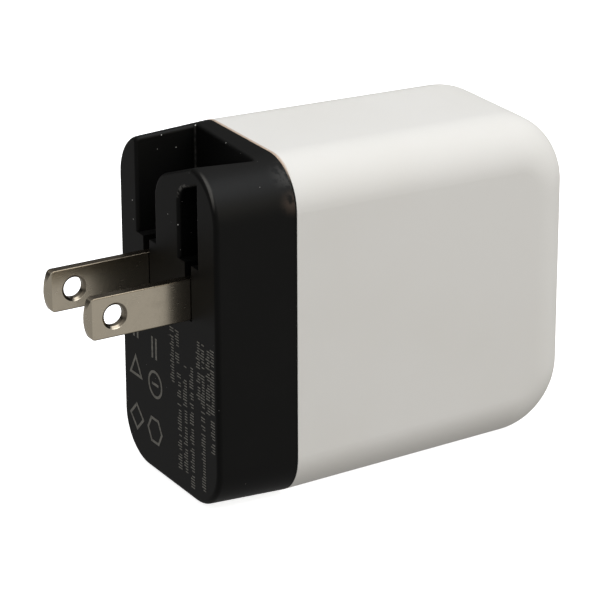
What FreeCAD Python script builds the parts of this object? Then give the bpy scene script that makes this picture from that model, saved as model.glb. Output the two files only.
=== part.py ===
"""Compact wall charger with two folding flat blades and three USB outlets.

Frame: millimetres, +Z up. The origin lies on the plug face, midway between the blades.
The blades point along +Y, the USB outlets open at the front face on the -Y side, X is the width.
"""
import FreeCAD, Part
import math
import os

Vec = FreeCAD.Vector
X_AXIS, Y_AXIS, Z_AXIS = Vec(1, 0, 0), Vec(0, 1, 0), Vec(0, 0, 1)

# Driving dimensions of the casing
BODY_WIDTH = 30.7          # across the parting line
BODY_TOP = 20.4            # top of the casing at the parting line
BODY_BOTTOM = -31.9        # bottom of the casing at the parting line
BODY_DEPTH = 61.9          # plug face to outlet face
HOUSING_DEPTH = 12.7       # plug face to the parting line
EDGE_RADIUS = 7.25         # long edges of the casing
NOSE_RADIUS = 11.1         # top and bottom corners of the outlet end, seen from the side
SHELL_DRAFT_X = 0.64       # how much each side of the shell closes in towards the outlets
SHELL_DRAFT_Z = 1.0
HOUSING_DRAFT_X = 0.67     # how much each side of the plug housing closes in towards the wall
HOUSING_DRAFT_Z = 0.3
WALL = 2.0                 # shell wall
HOUSING_WALL = 3.2         # plug housing wall, thick enough to carry the joint skirt
FACE_RADIUS = 0.8          # rounding round the plug face
PARTING_CHAMFER = 0.16     # small bevel on both sides of the parting line
FIT = 0.05                 # gap between pieces that slide into each other

# Driving dimensions of the folding plug
BLADE_PITCH = 12.7
BLADE_WIDTH = 6.35
BLADE_THICK = 1.5
BLADE_LENGTH = 16.7
BLADE_HOLE_RADIUS = 1.6
BLADE_HOLE_FROM_TIP = 4.5
PIVOT_Y = -2.7
PIVOT_Z = -3.4
PIN_RADIUS = 0.9
PIN_FIT = 0.05

# Finger notch and blade slots in the plug face
SLOT_WIDTH = 5.4
SLOT_BOTTOM = 5.2
SLOT_DEPTH = 9.5           # on the centre plane
SLOT_CORNER = 3.1          # rounding of the closed slot's inner top corner
SLIT_WIDTH = 1.9
SLIT_BOTTOM = -3.4
RAMP_SLOPE = math.tan(math.radians(21.0))
RAMP_HEIGHT = 17.07        # height of the finger ramp on the centre plane, at the plug face
RAMP_FALL = 0.08           # how much the ramp drops for each millimetre towards the outlets
RAMP_CORNER = 4.8          # rounding where the ramp turns down into the notch
NOTCH_BACK_TILT = 0.044    # how much deeper the notch gets for each millimetre towards +X
NOTCH_BACK_CORNER = 0.45
SLOT_ROOF_HEIGHT = 14.25   # height of the closed slot's roof line on the centre plane
RIM_RADIUS = 0.55          # rounding of the notch and slot edges

LEFT, RIGHT = -1, 1
SIDES = {"left": LEFT, "right": RIGHT}


def box(x, y, z):
    """Box between two values along each axis."""
    size = [abs(b - a) for a, b in (x, y, z)]
    return Part.makeBox(*size, Vec(min(x), min(y), min(z)))


def rod(centre, axis, radius, length):
    """Cylinder that starts at centre and runs along axis."""
    return Part.makeCylinder(radius, length, centre, axis)


def tube(centre, axis, outer, inner, length):
    """Round tube that starts at centre and runs along axis."""
    return rod(centre, axis, outer, length).cut(rod(centre, axis, inner, length))


def union(shapes):
    """Join solids into one."""
    first, *rest = shapes
    return first.fuse(rest).removeSplitter() if rest else first


def group(shapes):
    """Keep separate solids together in one node."""
    return Part.makeCompound(shapes)


def handed(shape, side, centre=Vec(0, 0, 0)):
    """A piece drawn on the +X side of a centre, or its mirror image."""
    return shape if side == RIGHT else shape.mirror(centre, X_AXIS)


def polygon(points):
    """Flat face with straight edges."""
    return Part.Face(Part.makePolygon([*points, points[0]]))


def middle(edge):
    return edge.valueAt((edge.FirstParameter + edge.LastParameter) / 2)


def edges_where(shape, test):
    """Edges whose middle point passes the test."""
    return [edge for edge in shape.Edges if test(middle(edge))]


def near(value, target):
    return abs(value - target) < 0.01


def round_edges(shape):
    """The edges of a shape that are circles or arcs."""
    return [edge for edge in shape.Edges if isinstance(edge.Curve, Part.Circle)]


def rounded_box(x, y, z, radius, along=Z_AXIS):
    """Box whose edges along one axis are rounded."""
    block = box(x, y, z)
    edges = [e for e in block.Edges if e.tangentAt(e.FirstParameter).cross(along).Length < 0.01]
    return block.makeFillet(radius, edges)


def drafted(x_back, x_front, y, top_back, top_front, bottom_back, bottom_front, nose_radius):
    """Block with a trapezoid outline from the side and from above; the front corners may be round."""
    y_back, y_front = y
    side = Part.makePolygon([
        Vec(0, y_back, bottom_back),
        Vec(0, y_front, bottom_front),
        Vec(0, y_front, top_front),
        Vec(0, y_back, top_back),
        Vec(0, y_back, bottom_back),
    ])
    reach = 2 * max(x_back, x_front)
    slab = Part.Face(side).extrude(Vec(2 * reach, 0, 0))
    slab.translate(Vec(-reach, 0, 0))
    if nose_radius:
        nose = edges_where(slab, lambda m: near(m.y, y_front) and near(m.x, 0))
        slab = slab.makeFillet(nose_radius, nose)
    low = min(bottom_back, bottom_front) - 1
    plan = polygon([
        Vec(-x_back, y_back, low),
        Vec(x_back, y_back, low),
        Vec(x_front, y_front, low),
        Vec(-x_front, y_front, low),
    ])
    height = max(top_back, top_front) + 1 - low
    return slab.common(plan.extrude(Vec(0, 0, height)))


def shell_form(inset):
    """The light shell's outer form, or the same form set in by a distance."""
    half = BODY_WIDTH / 2 - inset
    front_half = half - SHELL_DRAFT_X
    front = -BODY_DEPTH + inset
    top, bottom = BODY_TOP - inset, BODY_BOTTOM + inset
    block = drafted(half, front_half, (-HOUSING_DEPTH, front), top, top - SHELL_DRAFT_Z,
                    bottom, bottom + SHELL_DRAFT_Z, NOSE_RADIUS - inset)
    rim = edges_where(block, lambda m: abs(m.x) > front_half - 1 and m.y < -HOUSING_DEPTH - 0.01)
    return block.makeFillet(EDGE_RADIUS - inset, rim)


def housing_form(inset):
    """The dark plug housing's outer form, or the same form set in by a distance."""
    half = BODY_WIDTH / 2 - inset
    top, bottom = BODY_TOP - inset, BODY_BOTTOM + inset
    block = drafted(half - HOUSING_DRAFT_X, half, (0, -HOUSING_DEPTH), top - HOUSING_DRAFT_Z, top,
                    bottom + HOUSING_DRAFT_Z, bottom, 0)
    corners = edges_where(block, lambda m: abs(m.x) > half - 1 and abs(m.z) > 15 and -HOUSING_DEPTH < m.y < 0)
    return block.makeFillet(EDGE_RADIUS - inset, corners)


def between(shape, y_low, y_high):
    """The part of a shape between two Y planes."""
    return shape.common(box((-50, 50), (y_low, y_high), (-60, 60)))


# --- Outlets: positions shared by the shell, the sockets and the outlet board ---
OUTLET_PITCH = 10.2
OUTLET_MIDDLE = -5.75
OUTLETS = {
    "usb_c_upper": OUTLET_MIDDLE + OUTLET_PITCH,
    "usb_c_lower": OUTLET_MIDDLE,
    "usb_a": OUTLET_MIDDLE - OUTLET_PITCH,
}
SOCKET_FRONT = -BODY_DEPTH + 0.35
SOCKET_METAL = 0.3
USB_C_SIZE = (8.94, 3.16)
USB_A_SIZE = (13.1, 5.7)
USB_A_CORNER = 0.5
MOUTH_CLEARANCE = 0.3      # how much wider the shell's openings are than the sockets


def soft_prism(size, grow, y, z, radius):
    """Prism along Y with rounded corners, for a size that is grown or shrunk all round by grow / 2."""
    width, height = (value + grow for value in size)
    return rounded_box((-width / 2, width / 2), y, (z - height / 2, z + height / 2), radius, Y_AXIS)


def oval_prism(size, grow, y, z):
    """Soft prism whose short sides are full half-rounds."""
    return soft_prism(size, grow, y, z, (size[1] + grow) / 2 - 0.001)


def latch_places():
    """Centres of the four snap latches on the joint skirt, as side and height."""
    return [(side, z) for side in (LEFT, RIGHT) for z in (8.0, -20.0)]


LATCH_Y = -HOUSING_DEPTH - 2.4
LATCH_LENGTH = 1.0
LATCH_HALF_HEIGHT = 3.0
LATCH_DEPTH = 0.45
LATCH_PLAY = 0.1


def latch(side, z, depth, grow):
    """Small bar across the joint between skirt and shell, or with growth the pocket for it."""
    inner = BODY_WIDTH / 2 - WALL - 0.6
    outer = BODY_WIDTH / 2 - WALL + depth
    reach_y = LATCH_LENGTH / 2 + grow
    reach_z = LATCH_HALF_HEIGHT + grow
    span_y = (LATCH_Y - reach_y, LATCH_Y + reach_y)
    return box((side * inner, side * outer), span_y, (z - reach_z, z + reach_z))


BOARD_RAIL_X = -BODY_WIDTH / 2 + WALL
BOARD_RAIL_HEIGHTS = (14.2, -27.4)
SKIRT_LENGTH = 4.0


def white_shell():
    """Main cover: one moulding with three outlet openings, latch pockets and board rails."""
    outer = shell_form(0)
    rim = edges_where(outer, lambda m: abs(m.y + HOUSING_DEPTH) < 0.001)
    outer = outer.makeChamfer(PARTING_CHAMFER, rim)
    cavity = shell_form(WALL)
    rail_x = (BOARD_RAIL_X - 1, BOARD_RAIL_X + 3.2)
    rails = [box(rail_x, (-50, -20), (z, z + 1.0)).common(cavity) for z in BOARD_RAIL_HEIGHTS]
    mouth = (-BODY_DEPTH - 1, -BODY_DEPTH + WALL + 1)
    openings = [oval_prism(USB_C_SIZE, MOUTH_CLEARANCE, mouth, OUTLETS[name])
                for name in ("usb_c_upper", "usb_c_lower")]
    openings.append(soft_prism(USB_A_SIZE, MOUTH_CLEARANCE, mouth, OUTLETS["usb_a"], USB_A_CORNER + 0.1))
    pockets = [latch(side, z, LATCH_DEPTH, LATCH_PLAY) for side, z in latch_places()]
    shell = outer.cut(cavity).fuse(rails).cut([*openings, *pockets])
    lips = edges_where(shell, lambda m: abs(m.y + BODY_DEPTH) < 0.001 and abs(m.x) < 7 and -20 < m.z < 7)
    return shell.makeChamfer(0.25, lips)


def ramp_height(x, y):
    """Height of the finger ramp: it climbs towards -X and drops a little towards the outlets."""
    return RAMP_HEIGHT - RAMP_SLOPE * x + RAMP_FALL * y


def notch_outline(y_of):
    """Outline of the finger notch on the plane whose Y is y_of(x)."""
    left_wall = (BLADE_PITCH - SLOT_WIDTH) / 2
    right_wall = (BLADE_PITCH + SLOT_WIDTH) / 2
    high = BODY_TOP + 3
    lean = y_of(1) - y_of(0)
    ramp_top = (ramp_height(0, y_of(0)) - high) / (RAMP_SLOPE - RAMP_FALL * lean)
    corners = [
        (left_wall, SLOT_BOTTOM),
        (right_wall, SLOT_BOTTOM),
        (right_wall, high),
        (ramp_top, high),
        (left_wall, ramp_height(left_wall, y_of(left_wall))),
    ]
    points = [Vec(x, y_of(x), z) for x, z in corners]
    return Part.makePolygon([*points, points[0]])


def finger_notch():
    """Open notch beside the right blade, with a ramp that a finger slides down to reach it."""
    left_wall = (BLADE_PITCH - SLOT_WIDTH) / 2
    right_wall = (BLADE_PITCH + SLOT_WIDTH) / 2
    back = notch_outline(lambda x: -SLOT_DEPTH - NOTCH_BACK_TILT * x)
    front = notch_outline(lambda x: 2)
    notch = Part.makeLoft([back, front], True, True)
    ramp_end = edges_where(notch, lambda m: near(m.x, left_wall) and near(m.z, ramp_height(m.x, m.y)))
    notch = notch.makeFillet(RAMP_CORNER, ramp_end)
    back_corner = edges_where(notch, lambda m: near(m.x, right_wall) and m.y < -9 and m.z > SLOT_BOTTOM + 1)
    return notch.makeFillet(NOTCH_BACK_CORNER, back_corner)


def closed_slot():
    """Slot for the folded left blade, roofed by the material under the ramp."""
    inner_wall = -(BLADE_PITCH - SLOT_WIDTH) / 2
    outer_wall = -(BLADE_PITCH + SLOT_WIDTH) / 2
    inner_roof, outer_roof = (SLOT_ROOF_HEIGHT - RAMP_SLOPE * x for x in (inner_wall, outer_wall))
    outline = [
        (outer_wall, SLOT_BOTTOM),
        (inner_wall, SLOT_BOTTOM),
        (inner_wall, inner_roof),
        (outer_wall, outer_roof),
    ]
    slot = polygon([Vec(x, -SLOT_DEPTH, z) for x, z in outline]).extrude(Vec(0, SLOT_DEPTH + 2, 0))
    corner = edges_where(slot, lambda m: near(m.x, inner_wall) and near(m.z, inner_roof))
    return slot.makeFillet(SLOT_CORNER, corner)


# Rotor chamber behind the plug face
CHAMBER_HALF = 8.65
CHAMBER_FRONT = -0.95
CHAMBER_TOP = 3.65
CHAMBER_FLOOR = -9.3
BEARING_END = 11.4
RETAINER_FRONT = -10.7
RETAINER_THICK = 1.5
BLOCK_BOTTOM = -11.0
FACE_WALL = 2.2
SCREW_PLACES = [(0, 8.0), (-10.2, -7.4), (10.2, -7.4)]
SCREW_DEPTH = 6.5
PILOT_RADIUS = 1.0


def plug_housing():
    """Dark end cap with the blade slots, the rotor chamber, the bearing slots and the joint skirt."""
    outer = housing_form(0)
    face_rim = edges_where(outer, lambda m: abs(m.y) < 0.001)
    outer = outer.makeFillet(FACE_RADIUS, face_rim)
    back_rim = edges_where(outer, lambda m: abs(m.y + HOUSING_DEPTH) < 0.001)
    outer = outer.makeChamfer(PARTING_CHAMFER, back_rim)
    outer = round_rims(outer.cut([finger_notch(), closed_slot()])).cut(slits())
    hollow = housing_form(HOUSING_WALL)
    lower_hollow = hollow.common(box((-20, 20), (-HOUSING_DEPTH, -FACE_WALL), (-40, BLOCK_BOTTOM)))
    rear_hollow = between(hollow, -HOUSING_DEPTH, RETAINER_FRONT)
    chamber_y = (RETAINER_FRONT - 1, CHAMBER_FRONT)
    chamber = box((-CHAMBER_HALF, CHAMBER_HALF), chamber_y, (CHAMBER_FLOOR, CHAMBER_TOP))
    bearings = [bearing_slot(side) for side in (LEFT, RIGHT)]
    pilots = [rod(Vec(x, RETAINER_FRONT, z), Y_AXIS, PILOT_RADIUS, SCREW_DEPTH) for x, z in SCREW_PLACES]
    cap = outer.cut([lower_hollow, rear_hollow, chamber, *bearings, *pilots])
    skirt = shell_form(WALL + FIT).cut(shell_form(HOUSING_WALL - 0.1))
    skirt = between(skirt, -HOUSING_DEPTH - SKIRT_LENGTH, -HOUSING_DEPTH)
    latches = [latch(side, z, LATCH_DEPTH - LATCH_PLAY, 0) for side, z in latch_places()]
    return union([cap, skirt, *latches])


def slits():
    """Narrow slits in which the blades turn, through the plug face and up into the slots."""
    half = SLIT_WIDTH / 2
    centres = (-BLADE_PITCH / 2, BLADE_PITCH / 2)
    return [box((x - half, x + half), (-SLOT_DEPTH, 2), (SLIT_BOTTOM, SLOT_BOTTOM + 1)) for x in centres]


def round_rims(shape):
    """Soften the edges of notch and slot, but not their sharp lower shelves."""
    reach = BLADE_PITCH / 2 + SLOT_WIDTH / 2 + 1
    low, high = SLOT_BOTTOM + 0.1, BODY_TOP - 0.4
    rims = edges_where(shape, lambda m: near(m.y, 0) and abs(m.x) < reach and low < m.z < high)
    return shape.makeFillet(RIM_RADIUS, rims)


def bearing_slot(side):
    """Blind U-shaped slot, open to the back, that takes one pivot pin."""
    radius = PIN_RADIUS + PIN_FIT
    x = (side * (CHAMBER_HALF - 0.5), side * BEARING_END)
    channel = box(x, (RETAINER_FRONT - 1, PIVOT_Y), (PIVOT_Z - radius, PIVOT_Z + radius))
    start = Vec(min(x), PIVOT_Y, PIVOT_Z)
    return channel.fuse(rod(start, X_AXIS, radius, abs(x[1] - x[0])))


TAIL_BACK = -6.9
TAIL_HALF = 1.5
ROOT_BACK = -3.9


TIP_SAG = 1.0              # how far the rounded end stands out past its corners
TIP_CORNER = 0.8
TIP_HALF_THICK = 0.3       # half of the blade's thickness at its very end
TIP_TAPER = 0.9            # length over which both faces close in
BLADE_EDGE = 0.15
HOLE_RIM = 0.4             # width of the coined rim round the hole
HOLE_RIM_DEPTH = 0.3


def blade_outline():
    """Side view of a blade: straight edges, and an arc for the end."""
    half = BLADE_WIDTH / 2
    shoulder = BLADE_LENGTH - TIP_SAG
    low_back, low_front = Vec(0, ROOT_BACK, -half), Vec(0, shoulder, -half)
    high_back, high_front = Vec(0, ROOT_BACK, half), Vec(0, shoulder, half)
    return Part.Face(Part.Wire([
        Part.LineSegment(low_back, low_front).toShape(),
        Part.Arc(low_front, Vec(0, BLADE_LENGTH, 0), high_front).toShape(),
        Part.LineSegment(high_front, high_back).toShape(),
        Part.LineSegment(high_back, low_back).toShape(),
    ]))


def tip_wedge():
    """Blade-wide block whose end closes in from both faces."""
    half, thick = BLADE_WIDTH / 2, BLADE_THICK / 2
    taper = BLADE_LENGTH - TIP_TAPER
    plan = [
        (-thick, ROOT_BACK),
        (thick, ROOT_BACK),
        (thick, taper),
        (TIP_HALF_THICK, BLADE_LENGTH),
        (-TIP_HALF_THICK, BLADE_LENGTH),
        (-thick, taper),
    ]
    return polygon([Vec(x, y, -half) for x, y in plan]).extrude(Vec(0, 0, BLADE_WIDTH))


def blade(side):
    """Flat contact blade with a rounded, thinned tip, a hole, and a tail that meets the contact spring."""
    thick = BLADE_THICK / 2
    plate = blade_outline().extrude(Vec(BLADE_THICK, 0, 0))
    plate.translate(Vec(-thick, 0, 0))
    corners = edges_where(plate, lambda m: near(m.y, BLADE_LENGTH - TIP_SAG) and near(m.x, 0))
    plate = plate.makeFillet(TIP_CORNER, corners)
    rims = edges_where(plate, lambda m: abs(m.x) > thick - 0.01 and m.y > ROOT_BACK + 0.1)
    plate = plate.makeFillet(BLADE_EDGE, rims).common(tip_wedge())
    tail = box((-thick, thick), (TAIL_BACK, ROOT_BACK), (-TAIL_HALF, TAIL_HALF))
    hole_y = BLADE_LENGTH - BLADE_HOLE_FROM_TIP
    hole = rod(Vec(-thick, hole_y, 0), X_AXIS, BLADE_HOLE_RADIUS, BLADE_THICK)
    cones = [Part.makeCone(BLADE_HOLE_RADIUS + HOLE_RIM, BLADE_HOLE_RADIUS, HOLE_RIM_DEPTH,
                           Vec(s * thick, hole_y, 0), Vec(-s, 0, 0)) for s in (LEFT, RIGHT)]
    plate = plate.fuse(tail).removeSplitter().cut([hole, *cones])
    plate.translate(Vec(side * BLADE_PITCH / 2, 0, 0))
    return plate


ROTOR_FRONT = PIVOT_Y + 1.5
ROTOR_BACK = PIVOT_Y - 1.9
HUB_HALF = 8.4
HUB_RADIUS = 1.5
HUB_RISE = 2.6
BLOCK_HALF = BLADE_PITCH / 2 + BLADE_THICK / 2
BLOCK_TOP = 3.2
PIN_INNER = BLOCK_HALF + 0.35
PIN_OUTER = 11.1


def blade_rotor(blades):
    """Insulating block moulded round both blade roots, with hubs that carry the pivot pins."""
    hub = rod(Vec(-HUB_HALF, PIVOT_Y, PIVOT_Z), X_AXIS, HUB_RADIUS, 2 * HUB_HALF)
    cheeks = box((-HUB_HALF, HUB_HALF), (ROTOR_BACK, ROTOR_FRONT), (PIVOT_Z, PIVOT_Z + HUB_RISE))
    block = box((-BLOCK_HALF, BLOCK_HALF), (ROTOR_BACK, ROTOR_FRONT), (PIVOT_Z, BLOCK_TOP))
    body = union([hub, cheeks, block])
    holes = [pivot_pin(side) for side in (LEFT, RIGHT)]
    return body.cut([*blades, *holes])


def pivot_pin(side):
    """Steel stub pin with a small lead-in bevel at its outer end."""
    pin = rod(Vec(PIN_INNER, PIVOT_Y, PIVOT_Z), X_AXIS, PIN_RADIUS, PIN_OUTER - PIN_INNER)
    pin = pin.makeChamfer(0.2, edges_where(pin, lambda m: near(m.x, PIN_OUTER)))
    return handed(pin, side)


SPRING_THICK = 0.3
SPRING_INNER = BLADE_PITCH / 2 + BLADE_THICK / 2 + 0.03
SPRING_FRONT = -5.5
INPUT_BOARD_FRONT = -14.2
BOARD_THICK = 1.2
INPUT_BOARD_BACK = INPUT_BOARD_FRONT - BOARD_THICK


def rotor_retainer():
    """Plate screwed to the housing behind the rotor; its legs close the bearing slots."""
    back = RETAINER_FRONT - RETAINER_THICK
    plate = rounded_box((-11.9, 11.9), (back, RETAINER_FRONT), (-10.6, 10.4), 1.2, Y_AXIS)
    radius = PIN_RADIUS + PIN_FIT
    legs = [box((side * (CHAMBER_HALF + 0.3), side * (BEARING_END - 0.2)), (RETAINER_FRONT, PIVOT_Y),
                (PIVOT_Z - radius + FIT, PIVOT_Z + radius - FIT)) for side in (LEFT, RIGHT)]
    bore = rod(Vec(-20, PIVOT_Y, PIVOT_Z), X_AXIS, radius, 40)
    screw_holes = [rod(Vec(x, back - 1, z), Y_AXIS, 1.1, RETAINER_THICK + 2) for x, z in SCREW_PLACES]
    spring_slots = [box((side * (SPRING_INNER - 0.35), side * (SPRING_INNER + SPRING_THICK + 0.35)),
                        (back - 1, RETAINER_FRONT + 1), (-1.4, 1.4)) for side in (LEFT, RIGHT)]
    anchor = box((-2.6, 2.6), (back - 1, RETAINER_FRONT + 1), (DETENT_FOOT_Z - 0.3, DETENT_FOOT_Z + 0.7))
    return union([plate, *legs]).cut([bore, *screw_holes, *spring_slots, anchor])


def retainer_screws():
    """Three self-tapping screws with round heads and cross recesses."""
    back = RETAINER_FRONT - RETAINER_THICK
    head_height = 1.1
    screws = []
    for x, z in SCREW_PLACES:
        shank = rod(Vec(x, back, z), Y_AXIS, 0.95, RETAINER_THICK + SCREW_DEPTH - 0.6)
        head = rod(Vec(x, back - head_height, z), Y_AXIS, 1.7, head_height)
        head = head.makeFillet(0.5, edges_where(head, lambda m: near(m.y, back - head_height)))
        cross = [box((x - a, x + a), (back - head_height - 1, back - 0.5), (z - b, z + b))
                 for a, b in ((0.95, 0.18), (0.18, 0.95))]
        screws.append(union([head, shank]).cut(cross))
    return group(screws)


DETENT_FOOT_Z = -8.9
DETENT_THICK = 0.25


def detent_spring():
    """Leaf spring on the retainer that presses on the rotor's flat back and holds the blades open."""
    knee = ROTOR_BACK - DETENT_THICK / 2 - 0.02
    foot_z = DETENT_FOOT_Z + 0.2
    foot_y = RETAINER_FRONT - RETAINER_THICK - 0.4
    outline = [(foot_y, foot_z), (knee - 2.6, foot_z), (knee, -4.2), (knee, -2.6)]
    half = DETENT_THICK / 2
    upper = [(y, z + half) for y, z in outline[:2]] + [(y - half, z) for y, z in outline[2:]]
    lower = [(y, z - half) for y, z in outline[:2]] + [(y + half, z) for y, z in outline[2:]]
    leaf = polygon([Vec(0, y, z) for y, z in [*upper, *reversed(lower)]]).extrude(Vec(4.4, 0, 0))
    leaf.translate(Vec(-2.2, 0, 0))
    return leaf


def contact_spring(side):
    """Strip that touches the blade's tail when the plug is open, and is soldered into the input board."""
    inner, outer = SPRING_INNER, SPRING_INNER + SPRING_THICK
    height = (-0.9, 0.9)
    finger = box((inner, outer), (INPUT_BOARD_BACK - 0.8, SPRING_FRONT), height)
    lead_in = box((outer, outer + SPRING_THICK), (SPRING_FRONT - 0.3, SPRING_FRONT), height)
    return handed(union([finger, lead_in]), side)


# --- Circuit boards ---
MAIN_BOARD_X = -11.6
MAIN_FACE = MAIN_BOARD_X + BOARD_THICK
OUTLET_BOARD_FRONT = -48.4
OUTLET_BOARD_BACK = OUTLET_BOARD_FRONT + BOARD_THICK


def input_board():
    """Board behind the retainer; it carries the input parts and takes the contact springs."""
    board = rounded_box((-11.3, 11.3), (INPUT_BOARD_BACK, INPUT_BOARD_FRONT), (-26.0, 9.5), 2.5, Y_AXIS)
    slots = [box((side * (SPRING_INNER - 0.1), side * (SPRING_INNER + SPRING_THICK + 0.1)),
                 (INPUT_BOARD_BACK - 1, INPUT_BOARD_FRONT + 1), (-1.0, 1.0)) for side in (LEFT, RIGHT)]
    return board.cut(slots)


def main_board():
    """Board along the left wall that carries the converter."""
    return rounded_box((MAIN_BOARD_X, MAIN_FACE), (-47.0, -16.5), (-26.0, 14.0), 1.5, X_AXIS)


def outlet_board():
    """Cross board that carries the three sockets."""
    return rounded_box((-11.0, 11.0), (OUTLET_BOARD_FRONT, OUTLET_BOARD_BACK), (-23.5, 12.0), 1.5, Y_AXIS)


# --- Input parts, standing on the input board's rear face ---
INPUT_FACE = INPUT_BOARD_BACK - 0.1


def fuse():
    """Slow-blow fuse in a plastic case with two wire legs."""
    case = rounded_box((0.8, 10.2), (INPUT_FACE - 4.0, INPUT_FACE), (4.6, 8.4), 0.8, X_AXIS)
    groove = box((0, 11), (INPUT_FACE - 4.1, INPUT_FACE - 3.8), (6.2, 6.8))
    legs = [rod(Vec(x, INPUT_FACE, 6.5), Y_AXIS, 0.3, BOARD_THICK) for x in (2.6, 8.4)]
    return union([case.cut(groove), *clear_board(legs)])


def clear_board(legs):
    """Legs end at the board's face: the solder side is not modelled."""
    stop = box((-30, 30), (INPUT_FACE - 0.05, INPUT_BOARD_BACK), (-60, 60))
    return [leg.common(stop) for leg in legs]


def varistor():
    """Disc varistor lying on the board."""
    disc = rod(Vec(7.7, INPUT_FACE - 3.2, -7.2), Y_AXIS, 3.9, 3.2)
    return disc.makeFillet(1.1, disc.Edges)


def x_capacitor():
    """Boxed film capacitor across the mains."""
    case = box((-9.4, 3.2), (INPUT_FACE - 6.2, INPUT_FACE), (-12.0, -1.6))
    return case.makeFillet(0.4, edges_where(case, lambda m: m.y < INPUT_FACE - 0.1))


CHOKE_CENTRE = Vec(0, INPUT_FACE - 3.0, -19.6)
CHOKE_OUTER = 6.6
CHOKE_INNER = 3.6
CHOKE_HEIGHT = 3.8
CHOKE_WIRE = 0.38


def choke_core():
    """Ferrite ring of the common-mode choke."""
    start = CHOKE_CENTRE - Vec(0, CHOKE_HEIGHT / 2, 0)
    ring = tube(start, Y_AXIS, CHOKE_OUTER, CHOKE_INNER, CHOKE_HEIGHT)
    return ring.makeFillet(0.5, round_edges(ring))


def choke_winding(side):
    """Turns of wire round one half of the ring, as a row of closed loops."""
    turns = 7
    half_span = 54
    loops = []
    for turn in range(turns):
        angle = math.radians(-half_span + 2 * half_span * turn / (turns - 1))
        spoke = Vec(math.cos(angle), 0, math.sin(angle))
        tangent = Vec(-math.sin(angle), 0, math.cos(angle))
        centre = CHOKE_CENTRE + spoke * (CHOKE_OUTER + CHOKE_INNER) / 2
        loops.append(ring_loop(centre, spoke, tangent))
    return handed(group(loops), side, CHOKE_CENTRE)


def ring_loop(centre, spoke, tangent):
    """Rectangular loop of wire round the ring's section, standing square to the ring."""
    half_radial = (CHOKE_OUTER - CHOKE_INNER) / 2 + FIT
    half_axial = CHOKE_HEIGHT / 2 + FIT

    def slab(a, b):
        corners = [centre + spoke * (i * a) + Y_AXIS * (j * b) - tangent * (CHOKE_WIRE / 2)
                   for i, j in ((-1, -1), (1, -1), (1, 1), (-1, 1))]
        return polygon(corners).extrude(tangent * CHOKE_WIRE)

    return slab(half_radial + CHOKE_WIRE, half_axial + CHOKE_WIRE).cut(slab(half_radial, half_axial))


def bridge_rectifier():
    """Flat four-legged rectifier."""
    body = box((-9.6, -1.6), (INPUT_FACE - 2.4, INPUT_FACE - 0.2), (2.2, 8.0))
    body = body.makeChamfer(0.3, edges_where(body, lambda m: m.y < INPUT_FACE - 2.3))
    legs = [box((x - 0.5, x + 0.5), (INPUT_FACE - 1.2, INPUT_FACE), (z - 0.6, z + 0.6))
            for x in (-8.0, -3.2) for z in (2.0, 8.2)]
    return union([body, *legs])


# --- Converter parts on the main board ---
CAPACITOR_RADIUS = 4.45
CAPACITOR_LENGTH = 19.5
CAPACITOR_PLACES = [(-4.9, -22.2), (4.7, -22.2), (-0.1, -13.9)]
CAPACITOR_FRONT = -44.0


def electrolytic(x, z, y, radius, length):
    """Can with a crimp groove near its rubber end and a scored top."""
    can = rod(Vec(x, y, z), Y_AXIS, radius, length)
    can = can.makeFillet(0.5, round_edges(can))
    groove = Part.makeTorus(radius + 0.25, 0.6, Vec(x, y + length - 2.2, z), Y_AXIS)
    long, short = radius * 0.6, 0.12
    bars = ((long, short), (short, long))
    score = [box((x - a, x + a), (y - 1, y + 0.15), (z - b, z + b)) for a, b in bars]
    return can.cut([groove, *score])


TRANSFORMER_Y = -34.5
TRANSFORMER_Z = 2.5
CORE_HALF_Y = 10.0
CORE_HALF_Z = 7.0
CORE_LOW_X = -9.6
CORE_HIGH_X = 8.4
CORE_SPLIT = (CORE_LOW_X + CORE_HIGH_X) / 2
CORE_PLATE = 3.0
CORE_LEG = 2.2
LEG_RADIUS = 3.3


def transformer_core(side):
    """Half of the ferrite core: a back plate, two outer legs and a round centre leg."""
    end = CORE_LOW_X if side == LEFT else CORE_HIGH_X
    plate_inner = end - side * CORE_PLATE
    y = (TRANSFORMER_Y - CORE_HALF_Y, TRANSFORMER_Y + CORE_HALF_Y)
    z = (TRANSFORMER_Z - CORE_HALF_Z, TRANSFORMER_Z + CORE_HALF_Z)
    split = CORE_SPLIT + side * 0.03
    plate = rounded_box((plate_inner, end), y, z, 1.0, X_AXIS)
    near_y, far_y = CORE_HALF_Y - CORE_LEG, CORE_HALF_Y
    legs = [box((plate_inner, split), (TRANSFORMER_Y + s * near_y, TRANSFORMER_Y + s * far_y), z)
            for s in (LEFT, RIGHT)]
    length = abs(plate_inner - split)
    centre = rod(Vec(min(plate_inner, split), TRANSFORMER_Y, TRANSFORMER_Z), X_AXIS, LEG_RADIUS, length)
    return union([plate, *legs, centre])


BOBBIN_LOW = CORE_LOW_X + CORE_PLATE + 0.1
BOBBIN_HIGH = CORE_HIGH_X - CORE_PLATE - 0.1
BOBBIN_RADIUS = LEG_RADIUS + 0.1
BOBBIN_WALL = 0.7
FLANGE_RADIUS = 7.4


def transformer_bobbin():
    """Spool that holds the windings round the centre leg."""
    length = BOBBIN_HIGH - BOBBIN_LOW
    start = Vec(BOBBIN_LOW, TRANSFORMER_Y, TRANSFORMER_Z)
    barrel = tube(start, X_AXIS, BOBBIN_RADIUS + BOBBIN_WALL, BOBBIN_RADIUS, length)
    flange_starts = [Vec(x, TRANSFORMER_Y, TRANSFORMER_Z) for x in (BOBBIN_LOW, BOBBIN_HIGH - BOBBIN_WALL)]
    flanges = [tube(place, X_AXIS, FLANGE_RADIUS, BOBBIN_RADIUS, BOBBIN_WALL) for place in flange_starts]
    return union([barrel, *flanges])


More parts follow.
